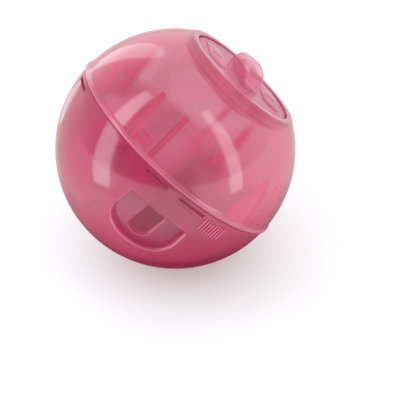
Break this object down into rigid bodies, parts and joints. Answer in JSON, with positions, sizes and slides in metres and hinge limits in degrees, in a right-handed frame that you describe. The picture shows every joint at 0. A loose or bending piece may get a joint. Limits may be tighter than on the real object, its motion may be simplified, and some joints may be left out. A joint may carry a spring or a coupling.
{
  "type": "pet food dispensing ball",
  "caption": "Hollow clear plastic ball that drops dry food through an adjustable port as a cat rolls it; its halves turn to set the port, and a cap with a grip bar lifts off for filling.",
  "frame": {"origin": "middle of the ball, midway between the gate flat at the lower pole and the crest of the cap's grip bar", "axes": "+Z along the ball's turning axis, out through the filling cap; -Y out through the food port; +X to the right when looking at the port with the cap up"},
  "size_m": [0.077, 0.077, 0.0756],
  "materials": {
    "lower_pink": "clear pink moulded plastic, glossy",
    "shutter_pink": "clear pink moulded plastic, glossy",
    "upper_pink": "clear pink moulded plastic, glossy",
    "cap_pink": "clear pink moulded plastic, glossy, with finely frosted finger pads"
  },
  "bodies": {
    "lower_half": {"lower_shell": "lower_pink"},
    "upper_half": {"upper_shell": "upper_pink", "shutter_ring": "shutter_pink"},
    "cap": {"fill_cap": "cap_pink"}
  },
  "joints": [
    {"name": "setting_turn", "type": "hinge", "parent": "lower_half", "child": "upper_half", "pos_m": [0, 0, 0], "axis": [0, 0, 1], "range_deg": [-36, 30]},
    {"name": "cap_lift", "type": "slide", "parent": "upper_half", "child": "cap", "axis": [0, 0, 1], "range_m": [0, 0.05]}
  ]
}
